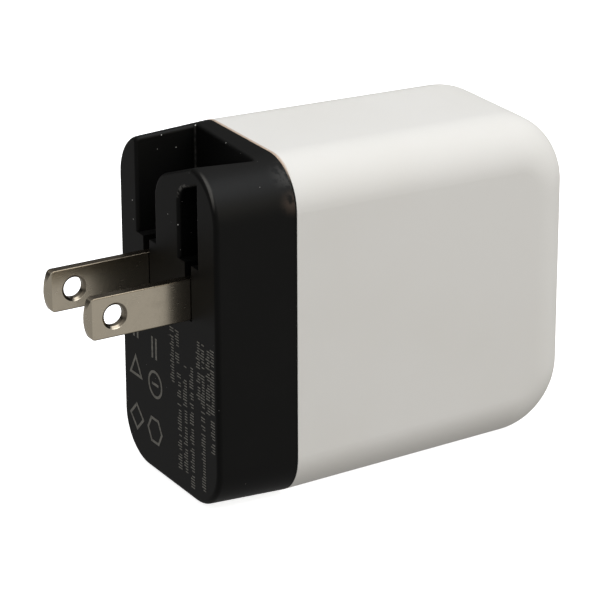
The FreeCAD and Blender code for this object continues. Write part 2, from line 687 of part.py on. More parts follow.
def transformer_winding():
    """Copper turns as one ribbed sleeve between the bobbin's flanges."""
    low = BOBBIN_LOW + BOBBIN_WALL + 0.05
    high = BOBBIN_HIGH - BOBBIN_WALL - 0.05
    inner = BOBBIN_RADIUS + BOBBIN_WALL + 0.03
    outer = FLANGE_RADIUS - 0.5
    turns = 14
    pitch = (high - low) / turns
    outline = [Vec(low, inner, 0)]
    for turn in range(turns):
        start = low + turn * pitch
        outline.append(Vec(start, outer - 0.2, 0))
        outline.append(Vec(start + pitch / 2, outer, 0))
    outline.append(Vec(high, outer - 0.2, 0))
    outline.append(Vec(high, inner, 0))
    sleeve = polygon(outline).revolve(Vec(0, 0, 0), X_AXIS, 360)
    sleeve.translate(Vec(0, TRANSFORMER_Y, TRANSFORMER_Z))
    return sleeve


def transformer_tape():
    """Tape wrapped round both core halves."""
    thick = 0.15
    gap = 0.03

    def block(grow):
        return box((CORE_LOW_X - grow, CORE_HIGH_X + grow),
                   (TRANSFORMER_Y - CORE_HALF_Y - grow, TRANSFORMER_Y + CORE_HALF_Y + grow),
                   (TRANSFORMER_Z - 3.5, TRANSFORMER_Z + 3.5))
    return block(thick + gap).cut(block(gap))


SPREADER_X = 11.0


def thermal_pad():
    """Soft pad between the transformer and the heat spreader."""
    return rounded_box((CORE_HIGH_X + 0.25, SPREADER_X - 0.05), (-42.5, -26.5), (-3.5, 8.5), 0.6, X_AXIS)


def heat_spreader():
    """Bent metal sheet along the right wall."""
    sheet = box((SPREADER_X, SPREADER_X + 0.6), (-45.5, -23.5), (-19.0, 12.5))
    lip = box((SPREADER_X - 6.0, SPREADER_X + 0.6), (-23.5, -22.9), (-12.0, 12.5))
    sheet = union([sheet, lip])
    bend = edges_where(sheet, lambda m: near(m.x, SPREADER_X + 0.6) and near(m.y, -22.9))
    return sheet.makeFillet(0.5, bend)


def insulating_sheet():
    """Thin insulating sheet between the main board and the shell."""
    return box((MAIN_BOARD_X - 0.5, MAIN_BOARD_X - 0.2), (-46.5, -17.0), (-24.0, 12.5))


def y_capacitor():
    """Small ceramic disc between the two sides of the transformer."""
    disc = rod(Vec(MAIN_FACE + 1.0, -22.0, 12.4), X_AXIS, 2.9, 2.4)
    disc = disc.makeFillet(0.9, disc.Edges)
    legs = [rod(Vec(MAIN_FACE + 0.05, -22.0 + dy, 12.4), X_AXIS, 0.25, 1.5) for dy in (-1.5, 1.5)]
    return union([disc, *legs])


def chip(y, z, thickness, pins):
    """Flat package on the main board with a row of legs on both long sides."""
    base = MAIN_FACE + 0.05
    body = box((base + 0.1, base + thickness), y, z)
    body = body.makeChamfer(0.15, edges_where(body, lambda m: m.x > base + thickness - 0.01))
    pitch = (z[1] - z[0]) / pins
    leg = 0.6
    legs = [box((base, base + thickness / 2), span, (z[0] + pitch * (n + 0.3), z[0] + pitch * (n + 0.7)))
            for n in range(pins) for span in ((y[0] - leg, y[0]), (y[1], y[1] + leg))]
    return union([body, *legs])


def output_inductor():
    """Moulded square inductor with two end tabs."""
    base = MAIN_FACE + 0.05
    body = rounded_box((base + 0.2, base + 3.6), (-31.0, -25.6), (10.4, 13.9), 0.6, X_AXIS)
    tabs = [box((base, base + 0.6), y, (11.4, 12.9)) for y in ((-31.3, -29.0), (-27.6, -25.3))]
    return union([body, *tabs])


def protocol_chip():
    """Charging controller on the rear face of the outlet board."""
    base = OUTLET_BOARD_BACK + 0.05
    body = box((-3.0, 3.0), (base, base + 0.8), (-9.0, -3.0))
    return body.makeChamfer(0.15, edges_where(body, lambda m: m.y > base + 0.79))


OUTPUT_CAPACITOR_PLACES = [(-6.4, 13.1), (0.2, 13.1), (6.8, 13.1)]
OUTPUT_CAPACITOR_FRONT = -45.6
OUTPUT_CAPACITOR_RADIUS = 3.1
OUTPUT_CAPACITOR_LENGTH = 8.2


# --- Sockets ---
USB_C_BACK = SOCKET_FRONT + 9.2
USB_C_PLUG_FRONT = USB_C_BACK - 2.2
USB_C_TONGUE = (3.3, 0.35)             # half width and half thickness
CONTACT_THICK = 0.06


def usb_c_shell(z):
    """Drawn metal tube with a flat-oval section."""
    outer = oval_prism(USB_C_SIZE, 0, (SOCKET_FRONT, USB_C_BACK), z)
    return outer.cut(oval_prism(USB_C_SIZE, -2 * SOCKET_METAL, (SOCKET_FRONT - 1, USB_C_BACK + 1), z))


def usb_c_insert(z):
    """Insulator: foot on the board, plug inside the tube and the thin tongue."""
    foot_half, foot_rise = USB_C_SIZE[0] / 2 + 0.4, 2.2
    foot = rounded_box((-foot_half, foot_half), (USB_C_BACK + 0.02, OUTLET_BOARD_FRONT - 0.02),
                       (z - foot_rise, z + foot_rise), 0.6, Y_AXIS)
    plug = oval_prism(USB_C_SIZE, -2 * SOCKET_METAL - 0.04, (USB_C_PLUG_FRONT, USB_C_BACK + 0.02), z)
    half_width, half_thick = USB_C_TONGUE
    tip = SOCKET_FRONT + 0.9
    tongue = box((-half_width, half_width), (tip, USB_C_PLUG_FRONT), (z - half_thick, z + half_thick))
    nose = edges_where(tongue, lambda m: near(m.y, tip) and near(m.x, 0))
    return union([foot, plug, tongue.makeChamfer(0.2, nose)])


def usb_c_contacts(z):
    """Twelve plated strips on each face of the tongue."""
    pitch, half = 0.5, 0.13
    face = USB_C_TONGUE[1]
    centres = [(n - 5.5) * pitch for n in range(12)]
    heights = [(z + side * face, z + side * (face + CONTACT_THICK)) for side in (LEFT, RIGHT)]
    length = (SOCKET_FRONT + 1.6, USB_C_PLUG_FRONT)
    return group([box((x - half, x + half), length, height) for x in centres for height in heights])


USB_A_BACK = SOCKET_FRONT + 11.6
USB_A_PLUG_FRONT = USB_A_BACK - 2.5
USB_A_TONGUE_Z = 1.1                   # height of the tongue's middle above the socket's middle
USB_A_TONGUE = (5.55, 0.9)             # half width and half thickness


def usb_a_shell(z):
    """Folded metal tube with two windows in its floor, where the springs of a plug's socket would press."""
    outer = soft_prism(USB_A_SIZE, 0, (SOCKET_FRONT, USB_A_BACK), z, USB_A_CORNER)
    inner = soft_prism(USB_A_SIZE, -2 * SOCKET_METAL, (SOCKET_FRONT - 1, USB_A_BACK + 1), z, USB_A_CORNER / 2)
    floor = z - USB_A_SIZE[1] / 2
    windows = [box((x - 1.1, x + 1.1), (SOCKET_FRONT + 3.4, SOCKET_FRONT + 7.0), (floor - 1, floor + 1))
               for x in (-3.0, 3.0)]
    return outer.cut([inner, *windows])


def usb_a_insert(z):
    """Insulator with the broad tongue that carries the contacts."""
    foot = soft_prism(USB_A_SIZE, 0, (USB_A_BACK + 0.02, OUTLET_BOARD_FRONT - 0.02), z, 0.6)
    plug = soft_prism(USB_A_SIZE, -2 * SOCKET_METAL - 0.1, (USB_A_PLUG_FRONT, USB_A_BACK + 0.03), z, 0.3)
    half_width, half_thick = USB_A_TONGUE
    middle_z = z + USB_A_TONGUE_Z
    tip = SOCKET_FRONT + 1.2
    thickness = (middle_z - half_thick, middle_z + half_thick)
    tongue = box((-half_width, half_width), (tip, USB_A_PLUG_FRONT), thickness)
    nose = edges_where(tongue, lambda m: near(m.y, tip) and near(m.x, 0))
    return union([foot, plug, tongue.makeChamfer(0.4, nose)])


def usb_a_contacts(z):
    """Four plated strips under the tongue."""
    low = z + USB_A_TONGUE_Z - USB_A_TONGUE[1]
    half = 0.5
    length = (SOCKET_FRONT + 2.2, USB_A_PLUG_FRONT)
    centres = (-3.5, -1.0, 1.0, 3.5)
    return group([box((x - half, x + half), length, (low - 2 * CONTACT_THICK, low)) for x in centres])


# --- The whole charger ---
def casing_pieces():
    return {"white_shell": white_shell(), "plug_housing": plug_housing()}


def plug_pieces():
    """Blades, rotor, pins and what holds them."""
    blades = {"blade_" + name: blade(side) for name, side in SIDES.items()}
    pieces = dict(blades)
    pieces["blade_rotor"] = blade_rotor(list(blades.values()))
    for name, side in SIDES.items():
        pieces["pivot_pin_" + name] = pivot_pin(side)
        pieces["contact_spring_" + name] = contact_spring(side)
    pieces["rotor_retainer"] = rotor_retainer()
    pieces["retainer_screws"] = retainer_screws()
    pieces["detent_spring"] = detent_spring()
    return pieces


def input_pieces():
    """What stands on the board behind the plug."""
    makers = [input_board, fuse, varistor, x_capacitor, choke_core, bridge_rectifier]
    pieces = {maker.__name__: maker() for maker in makers}
    for name, side in SIDES.items():
        pieces["choke_winding_" + name] = choke_winding(side)
    return pieces


def converter_pieces():
    """What stands on the main board, and the sheets along the shell's sides."""
    makers = [
        main_board,
        transformer_bobbin,
        transformer_winding,
        transformer_tape,
        thermal_pad,
        heat_spreader,
        insulating_sheet,
        y_capacitor,
        output_inductor,
    ]
    pieces = {maker.__name__: maker() for maker in makers}
    for name, side in SIDES.items():
        pieces["transformer_core_" + name] = transformer_core(side)
    for n, (x, z) in enumerate(CAPACITOR_PLACES, 1):
        can = electrolytic(x, z, CAPACITOR_FRONT, CAPACITOR_RADIUS, CAPACITOR_LENGTH)
        pieces["bulk_capacitor_" + str(n)] = can
    for n, (x, z) in enumerate(OUTPUT_CAPACITOR_PLACES, 1):
        can = electrolytic(x, z, OUTPUT_CAPACITOR_FRONT, OUTPUT_CAPACITOR_RADIUS, OUTPUT_CAPACITOR_LENGTH)
        pieces["output_capacitor_" + str(n)] = can
    pieces["power_switch_chip"] = chip((-40.0, -33.0), (-15.0, -9.0), 0.9, 6)
    pieces["rectifier_chip"] = chip((-23.4, -19.4), (-14.0, -8.5), 0.9, 4)
    pieces["optocoupler"] = chip((-23.6, -19.4), (-22.0, -17.6), 1.9, 2)
    return pieces


def outlet_pieces():
    """The outlet board and its three sockets."""
    pieces = {"outlet_board": outlet_board(), "protocol_chip": protocol_chip()}
    usb_c = {"_shell": usb_c_shell, "_insert": usb_c_insert, "_contacts": usb_c_contacts}
    usb_a = {"_shell": usb_a_shell, "_insert": usb_a_insert, "_contacts": usb_a_contacts}
    for name, z in OUTLETS.items():
        makers = usb_a if name == "usb_a" else usb_c
        for ending, maker in makers.items():
            pieces[name + ending] = maker(z)
    return pieces


def main():
    os.makedirs("parts", exist_ok=True)
    pieces = {**casing_pieces(), **plug_pieces(), **input_pieces(), **converter_pieces(), **outlet_pieces()}
    for name, shape in pieces.items():
        shape.exportStep("parts/" + name + ".step")
        print(name, len(shape.Solids), shape.isValid(), round(shape.Volume, 1))
    print(len(pieces), "nodes")


main()
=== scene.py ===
# %% [markdown]
# # A two-colour wall charger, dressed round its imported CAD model
#
# The frame holds every moulded, stamped and soldered piece at its real size, in metres, with +Z up and
# the blades pointing along +Y. This script adds what the frame doesn't hold: the finish of each piece,
# the print on the plug face, the bead in the parting line, and a plain studio to see it in. Sizes below
# are in millimetres unless a name says otherwise, and MM turns them into metres.

# %% Load the frame
import math

import bpy
import numpy as np
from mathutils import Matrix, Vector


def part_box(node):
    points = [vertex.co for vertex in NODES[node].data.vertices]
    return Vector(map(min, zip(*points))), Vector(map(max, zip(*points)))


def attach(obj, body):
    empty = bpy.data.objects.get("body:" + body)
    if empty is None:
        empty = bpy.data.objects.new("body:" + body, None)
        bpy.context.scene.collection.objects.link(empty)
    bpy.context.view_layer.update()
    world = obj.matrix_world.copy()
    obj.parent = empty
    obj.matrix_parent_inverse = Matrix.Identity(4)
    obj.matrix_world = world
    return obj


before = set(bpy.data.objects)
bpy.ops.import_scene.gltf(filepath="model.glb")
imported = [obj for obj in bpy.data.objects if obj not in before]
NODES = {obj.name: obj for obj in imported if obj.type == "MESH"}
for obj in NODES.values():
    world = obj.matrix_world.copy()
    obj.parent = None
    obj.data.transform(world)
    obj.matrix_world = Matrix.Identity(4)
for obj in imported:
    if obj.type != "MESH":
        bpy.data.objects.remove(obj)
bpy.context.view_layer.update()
MM = 0.001
print("frame:", len(NODES), "nodes; CAD box in mm:")

# %% [markdown]
# ## Shader maths as plain expressions
#
# A procedural finish is arithmetic on values that vary over the surface: noise times a little, plus a
# mask, and so on. In the node editor each step is a Math node. Wrapping a socket in a small class that
# overloads the operators keeps the same nodes, but lets the finish read like the sum that it is. The same
# two classes serve the studio's surround, whose brightness is also a formula.


# %% A socket with operators, and a node tree with one method that adds nodes
class Field:
    """A value that varies over the surface; arithmetic on it adds Math nodes to its tree."""

    def __init__(self, nodes, socket):
        self.nodes = nodes
        self.socket = socket

    def math(self, operation, *values):
        """Add a Math node whose sockets hold the values in order."""
        return self.nodes.node("ShaderNodeMath", {"operation": operation}, dict(enumerate(values)))

    def __add__(self, other):
        return self.math("ADD", self, other)

    def __mul__(self, other):
        return self.math("MULTIPLY", self, other)

    def __sub__(self, other):
        return self.math("SUBTRACT", self, other)

    def __rsub__(self, other):
        return self.math("SUBTRACT", other, self)

    __radd__ = __add__
    __rmul__ = __mul__

    def rise(self, start, end):
        """0 below start, 1 above end, smooth in between."""
        return self.nodes.node("ShaderNodeMapRange", {"interpolation_type": "SMOOTHSTEP"},
                               {"Value": self, "From Min": start, "From Max": end})

    def fall(self, start, end):
        """1 below start, 0 above end."""
        return 1 - self.rise(start, end)

    def band(self, middle, half_width):
        """1 near the middle, fading to 0 at half_width on both sides."""
        return self.math("ABSOLUTE", self - middle).fall(half_width * 0.5, half_width)


class Nodes:
    """A node tree with one method that adds any node."""

    def __init__(self, tree):
        self.tree = tree

    def node(self, kind, settings=None, sockets=None, output=0):
        """Add a node, set its properties, then fill its sockets with values or links."""
        made = self.tree.nodes.new(kind)
        for key, value in (settings or {}).items():
            setattr(made, key, value)
        for key, value in (sockets or {}).items():
            self.fill(made.inputs[key], value)
        return Field(self, made.outputs[output])

    def fill(self, socket, value):
        """Link a socket to a varying value, or set it to a fixed one."""
        if isinstance(value, Field):
            self.tree.links.new(value.socket, socket)
        else:
            socket.default_value = value


print("helpers: Field and Nodes")

# %% [markdown]
# ## One class for every finish
#
# Each material is a Principled shader plus a few patterns in the object's own coordinates, in
# millimetres, so a pattern has the same real size on every piece. The patterns are: noise for grain and
# clouds, small round specks for dust, and soft balls and rings that say where a mark is.


# %% A finish and its patterns
MIX_FACTOR, MIX_FIRST, MIX_SECOND, MIX_COLOUR_OUT = 0, 6, 7, 2


class Finish(Nodes):
    """One material: a Principled shader, and the patterns that feed it."""

    def __init__(self, name, colour, roughness, **constants):
        self.material = bpy.data.materials.new(name)
        self.material.use_nodes = True
        super().__init__(self.material.node_tree)
        self.shader = self.tree.nodes["Principled BSDF"]
        self.set({"Base Color": (*colour, 1.0), "Roughness": roughness})
        self.set({key.replace("_", " "): value for key, value in constants.items()})

    def set(self, sockets):
        """Fill the shader's sockets by name."""
        for key, value in sockets.items():
            self.fill(self.shader.inputs[key], value)

    def place(self, stretch=(1, 1, 1)):
        """Object coordinates in millimetres, stretched along each axis."""
        where = self.node("ShaderNodeTexCoord", output="Object")
        scale = tuple(s / MM for s in stretch)
        return self.node("ShaderNodeMapping", sockets={"Vector": where, "Scale": scale})

    def axis(self, name):
        """One object coordinate in millimetres."""
        return self.node("ShaderNodeSeparateXYZ", sockets={"Vector": self.place()}, output=name)

    def noise(self, size_mm, detail=2.0, stretch=(1, 1, 1), roughness=0.5):
        """Noise from 0 to 1 whose blobs are about size_mm across."""
        sockets = {"Vector": self.place(stretch), "Scale": 1 / size_mm}
        sockets.update({"Detail": detail, "Roughness": roughness})
        return self.node("ShaderNodeTexNoise", sockets=sockets)

    def specks(self, cell_mm, radius_mm, share):
        """1 inside small round specks. One cell in a few holds one, as share says."""
        sockets = {"Vector": self.place(), "Scale": 1 / cell_mm}
        near = self.node("ShaderNodeTexVoronoi", {"feature": "F1"}, sockets, "Distance")
        pick = self.node("ShaderNodeTexVoronoi", {"feature": "F1"}, sockets, "Color")
        pick = self.node("ShaderNodeSeparateColor", sockets={"Color": pick})
        radius = radius_mm / cell_mm
        return near.fall(0.6 * radius, radius) * pick.rise(1 - share, 1.001 - share)

    def distance(self, centre, stretch=(1, 1, 1)):
        """Distance in millimetres from a point; a stretch of 0 leaves an axis out."""
        middle = tuple(c * s for c, s in zip(centre, stretch))
        sockets = {0: self.place(stretch), 1: middle}
        return self.node("ShaderNodeVectorMath", {"operation": "DISTANCE"}, sockets, "Value")

    def ball(self, centre, radius):
        """1 at a point, fading to 0 at the radius."""
        return self.distance(centre).fall(radius * 0.4, radius)

    def mix(self, mask, first, second):
        """Colour that goes from first to second as mask goes from 0 to 1."""
        ends = [c if isinstance(c, Field) else (*c, 1.0) for c in (first, second)]
        sockets = {MIX_FACTOR: mask, MIX_FIRST: ends[0], MIX_SECOND: ends[1]}
        return self.node("ShaderNodeMix", {"data_type": "RGBA"}, sockets, MIX_COLOUR_OUT)

    def bump(self, height, depth_mm):
        """Surface relief: height from 0 to 1 stands for depth_mm."""
        relief = self.node("ShaderNodeBump", sockets={"Height": height, "Distance": depth_mm * MM})
        self.set({"Normal": relief})


def paint(finish, *names):
    """Give CAD nodes a finish."""
    for name in names:
        NODES[name].data.materials.clear()
        NODES[name].data.materials.append(finish.material)
    print(finish.material.name, "->", ", ".join(names))


# %% [markdown]
# ## The light shell
#
# The cover is injection-moulded polycarbonate in a warm off-white, drawn from a tool with a fine
# spark-eroded texture. What the eye reads is satin: a soft highlight, a barely uneven tone, and a grain
# that is only felt at the highlight's edge. So the colour varies by a hair over centimetres, the
# roughness over millimetres, and the bump is a few thousandths of a millimetre deep. Along the top of the
# parting line, the shell's lip is painted a warm tan. This is a painted reflection of the lit edge in the
# groove, so it shows along the top only.

# %% White moulded plastic
WHITE = (0.815, 0.803, 0.775)
WHITE_DEEP = (0.800, 0.786, 0.753)
GREY_DUST = (0.45, 0.43, 0.40)
# painted reflection: the warm tan that the lit edge of the groove shows along the top
TAN_REFLECTION = (0.60, 0.465, 0.365)
SHELL_LOW, SHELL_HIGH = (np.array(corner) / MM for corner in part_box("white_shell"))
PARTING_Y, TOP_Z = SHELL_HIGH[1], SHELL_HIGH[2]
WHITE_ROUGHNESS = 0.48
WHITE_GLOSS = 0.06
WHITE_RELIEF = 0.0035
CLOUD_SIZE, SMUDGE_SIZE, GRAIN_SIZE = 22.0, 5.0, 0.16
REFLECTION_WIDTH = (0.48, 0.16)   # before the parting line, where the tan starts and where it is full
REFLECTION_DROP = (3.0, 0.5)      # the same, below the top
REFLECTION_STRENGTH = 0.8


def white_plastic():
    """Off-white with slow clouds, a painted tan reflection on the lip along the top, sparse grey dust and a
    fine grain.
    """
    f = Finish("white_plastic", WHITE, WHITE_ROUGHNESS, Specular_IOR_Level=WHITE_GLOSS)
    cloud = f.noise(CLOUD_SIZE)
    grain = f.noise(GRAIN_SIZE)
    smudge = f.noise(SMUDGE_SIZE, 3.0)
    tone = f.mix(cloud.rise(0.35, 0.7), WHITE, WHITE_DEEP)
    # painted reflection: the lip is tinted tan near the parting line, and only near the top
    lip_reflection = f.axis("Y").rise(PARTING_Y - REFLECTION_WIDTH[0], PARTING_Y - REFLECTION_WIDTH[1])
    lip_reflection = lip_reflection * f.axis("Z").rise(TOP_Z - REFLECTION_DROP[0], TOP_Z - REFLECTION_DROP[1])
    tone = f.mix(lip_reflection * REFLECTION_STRENGTH, tone, TAN_REFLECTION)
    dust = f.specks(cell_mm=3.6, radius_mm=0.06, share=0.10)
    tone = f.mix(dust * 0.5, tone, GREY_DUST)
    f.set({"Base Color": tone, "Roughness": WHITE_ROUGHNESS + smudge * 0.10 + grain * 0.06})
    f.bump(grain + smudge * 0.6, WHITE_RELIEF)
    return f


paint(white_plastic(), "white_shell")

# %% [markdown]
# ## The dark housing
#
# The same kind of moulding in black. Black plastic returns almost nothing by itself, so what shows is the
# reflection on its satin surface, and then whatever lies on it: a sparse scatter of dust, thicker in the
# recesses, and pale marks that are partly scuffs where the blades and fingers touch it and partly painted
# highlights. Thin pale lines on the arched end of the closed slot, and on the shoulder that turns from the
# plug face into the side, are painted highlights of those rounded rims with some scuffing. A fainter pale
# line down the notch's back corner is a painted highlight too. By the parting line, a rubbed patch has its
# sheen painted in as a paler colour, and there is also a small brown stain.

# %% Black moulded plastic
BLACK = (0.0024, 0.0024, 0.0022)
# pale grey of the scuffs, and of the painted highlights and sheen on the housing
SCUFF_AND_HIGHLIGHT = (0.16, 0.155, 0.145)
STAIN = (0.050, 0.036, 0.028)
PALE_DUST = (0.80, 0.79, 0.76)
BLACK_GLOSS = 0.17
BLACK_RELIEF = 0.004
FACE_RIM = (-0.9, -0.45)   # Y where the painted rim highlights and scuffs start and where they are full
ARCH_CENTRE, ARCH_RADIUS, ARCH_LINE = (-6.75, 0.0, 13.52), 3.45, 0.28
ARCH_X, ARCH_Z = (-7.6, -6.2), (13.9, 15.2)
SHOULDER_CENTRE, SHOULDER_RADIUS, SHOULDER_LINE = (-7.4, 0.0, 13.2), 6.95, 0.15
SHOULDER_MIDDLE, SHOULDER_REACH = (-12.9, -0.3, 19.0), 4.2
NOTCH_CORNER, CORNER_LINE, CORNER_Z = (8.97, -9.88, 0.0), (0.10, 0.32), (6.5, 9.0)
SCUFF_AND_HIGHLIGHT_STRENGTH = 0.75
RUB_CENTRE, RUB_RADIUS, RUB_SHEEN_STRENGTH = (-13.2, -12.9, 18.5), 3.6, 0.24
STAIN_CENTRE, STAIN_RADIUS = (-15.2, -12.2, 14.9), 2.4
RECESS_CENTRE, RECESS_RADIUS = (4.0, -6.0, 16.0), 17.0


def housing_scuffs_and_highlights(f):
    """Painted highlights, partly scuffs: thin pale lines on two rounded rims and down the notch's back
    corner, as a mask.
    """
    broken = f.noise(0.6, 3.0).rise(0.40, 0.60)
    by_face = f.axis("Y").rise(*FACE_RIM)
    arch_highlight = f.distance(ARCH_CENTRE, (1, 0, 1)).band(ARCH_RADIUS, ARCH_LINE)
    arch_highlight = arch_highlight * f.axis("X").rise(*ARCH_X) * f.axis("Z").rise(*ARCH_Z)
    shoulder_highlight = f.distance(SHOULDER_CENTRE, (1, 0, 1)).band(SHOULDER_RADIUS, SHOULDER_LINE)
    shoulder_highlight = shoulder_highlight * f.ball(SHOULDER_MIDDLE, SHOULDER_REACH)
    corner = f.distance(NOTCH_CORNER, (1, 1, 0)).fall(*CORNER_LINE) * f.axis("Z").rise(*CORNER_Z)
    return (arch_highlight * broken + shoulder_highlight * 0.55) * by_face + corner * (0.08 + broken * 0.26)


def black_plastic(name, colour, rough, handled):
    """Nearly black with faint clouds and a fine grain; a handled piece also has its marks, painted
    highlights and sheen, and dust.
    """
    f = Finish(name, colour, rough, Specular_IOR_Level=BLACK_GLOSS)
    grain = f.noise(0.13)
    cloud = f.noise(6.0)
    tone = f.mix(cloud.rise(0.35, 0.75), colour, tuple(c * 1.25 for c in colour))
    if handled:
        # painted sheen: a rubbed patch by the parting line, drawn paler where it would shine
        rub_sheen = f.distance(RUB_CENTRE).fall(0.0, RUB_RADIUS) * f.noise(0.9, 3.0).rise(0.40, 0.56)
        tone = f.mix(rub_sheen * RUB_SHEEN_STRENGTH, tone, SCUFF_AND_HIGHLIGHT)
        patchy = f.noise(1.3, 3.0).rise(0.30, 0.55)
        tone = f.mix(f.distance(STAIN_CENTRE).fall(0.0, STAIN_RADIUS) * patchy, tone, STAIN)
        # painted highlights on the rims and down the notch's corner, partly scuffs
        tone = f.mix(housing_scuffs_and_highlights(f) * SCUFF_AND_HIGHLIGHT_STRENGTH, tone, SCUFF_AND_HIGHLIGHT)
        in_recess = f.distance(RECESS_CENTRE).fall(RECESS_RADIUS * 0.6, RECESS_RADIUS)
        large = f.specks(cell_mm=2.3, radius_mm=0.09, share=0.06)
        small = f.specks(cell_mm=0.9, radius_mm=0.05, share=0.10)
        gathered = f.specks(cell_mm=1.5, radius_mm=0.12, share=0.55)
        tone = f.mix(large + small * 0.7 + gathered * in_recess, tone, PALE_DUST)
    f.set({"Base Color": tone, "Roughness": rough - 0.04 + grain * 0.08})
    f.bump(grain, BLACK_RELIEF)
    return f


paint(black_plastic("black_plastic", BLACK, 0.50, True), "plug_housing")
ROTOR_BLACK = (0.006, 0.006, 0.006)
paint(black_plastic("rotor_plastic", ROTOR_BLACK, 0.45, False), "blade_rotor", "rotor_retainer")

# %% [markdown]
# ## Nickel-plated blades
#
# Brass blades are stamped, tumbled and plated. The plating is warm and satin, with fine lines across the
# blade from the strip's rolling, so the brushing is a noise that is drawn out along Z and tight along Y.
# The same lines tilt the reflections a little, through a very shallow bump. A few long scratches run the
# way the blade slides into a socket. What the stamping tool sheared, which is the blade's two long edges
# and the rim of its hole, is darker and browner than its faces.

# %% Brushed nickel
BLADE_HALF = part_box("blade_left")[1].z / MM
HOLE_CENTRE = (0.0, 12.2, 0.0)
HOLE_RIM = (1.9, 2.0)      # distance from the hole's centre where its rim ends
EDGE_BAND = (0.25, 0.08)   # distance from the long edge where its sheared band starts and is full
CUT_NICKEL = (0.22, 0.185, 0.14)
SCRATCH_NICKEL = (0.80, 0.74, 0.62)
ALONG_Z, ALONG_Y = (1, 1, 0.035), (1, 0.05, 1)
BRUSHED_RELIEF = 0.0012


def brushed_metal(name, colour, rough, scratched=False):
    """Metal with fine lines along Z; a scratched piece also has scratches along Y and sheared edges."""
    f = Finish(name, colour, rough, Metallic=1.0)
    lines = f.noise(0.10, 3.0, ALONG_Z, roughness=0.7)
    stain = f.noise(1.6, 3.0)
    tone = f.mix(stain.rise(0.45, 0.8) * 0.4 + lines * 0.18, colour, tuple(c * 0.82 for c in colour))
    roughness = rough - 0.04 + lines * 0.08 + stain * 0.05
    if scratched:
        scratches = f.noise(0.09, 1.0, ALONG_Y).rise(0.70, 0.76)
        scratches = scratches * f.noise(2.2).rise(0.45, 0.6)
        tone = f.mix(scratches * 0.25, tone, SCRATCH_NICKEL)
        height = f.axis("Z")
        band_start, band_full = (BLADE_HALF - inset for inset in EDGE_BAND)
        cut_edge = height.math("ABSOLUTE", height).rise(band_start, band_full)
        rim = f.distance(HOLE_CENTRE, (0, 1, 1)).fall(*HOLE_RIM)
        tone = f.mix(cut_edge * 0.95 + rim * 0.8, tone, CUT_NICKEL)
        roughness = roughness + scratches * 0.15 + cut_edge * 0.04
    f.set({"Base Color": tone, "Roughness": roughness})
    f.bump(lines, BRUSHED_RELIEF)
    return f


NICKEL = (0.685, 0.612, 0.487)
PIN_STEEL = (0.60, 0.60, 0.60)
SOCKET_STEEL = (0.66, 0.655, 0.64)
PINS = ["pivot_pin_left", "pivot_pin_right", "retainer_screws"]
SOCKETS = ["usb_c_upper_shell", "usb_c_lower_shell", "usb_a_shell"]
paint(brushed_metal("blade_nickel", NICKEL, 0.20, scratched=True), "blade_left", "blade_right")
paint(brushed_metal("pin_steel", PIN_STEEL, 0.25), *PINS)
paint(brushed_metal("socket_steel", SOCKET_STEEL, 0.24), *SOCKETS)

# %% [markdown]
# ## What is inside
#
# The inner parts show only when the cover is taken off, but each keeps the finish of its kind: green
# laminate with traces, sintered ferrite, enamelled copper, shrink sleeve and so on. One short function
# makes a moulded or coated finish from a colour, a roughness and the size and strength of its mottle.


# %% Finishes for the electronics
def moulded(name, colour, rough, mottle_mm=1.5, contrast=0.25, relief_mm=0.003, **constants):
    """Colour that wanders towards a darker shade of itself, with matching roughness and relief."""
    f = Finish(name, colour, rough, **constants)
    mottle = f.noise(mottle_mm, 3.0)
    shade = tuple(c * (1 - contrast) for c in colour)
    tone = f.mix(mottle.rise(0.35, 0.75), colour, shade)
    f.set({"Base Color": tone, "Roughness": rough - 0.06 + mottle * 0.12})
    f.bump(mottle, relief_mm)
    return f


MASK_GREEN = (0.02, 0.16, 0.07)
MASK_BARE = (0.015, 0.11, 0.05)
MASK_ON_COPPER = (0.03, 0.22, 0.10)
COPPER_STEP = 0.02


def laminate():
    """Solder mask: a darker green with lighter square-cornered areas where copper lies beneath."""
    f = Finish("laminate", MASK_GREEN, 0.35, Coat_Weight=0.3)
    sockets = {"Vector": f.place(), "Scale": 0.35, "Mortar Size": 0.09}
    sockets.update({"Color1": (1, 1, 1, 1), "Color2": (0, 0, 0, 1), "Mortar": (0.4, 0.4, 0.4, 1)})
    tracks = f.node("ShaderNodeTexBrick", {"offset": 0.37, "squash": 0.6}, sockets)
    f.set({"Base Color": f.mix(tracks, MASK_BARE, MASK_ON_COPPER)})
    f.bump(tracks, COPPER_STEP)
    return f


paint(laminate(), "input_board", "main_board", "outlet_board")


# %% The electronics' finishes, piece by piece
def numbered(name, count=3):
    """The names of a row of like pieces."""
    return [name + "_" + str(n) for n in range(1, count + 1)]


def left_and_right(name):
    """The names of a mirrored pair."""
    return [name + "_left", name + "_right"]


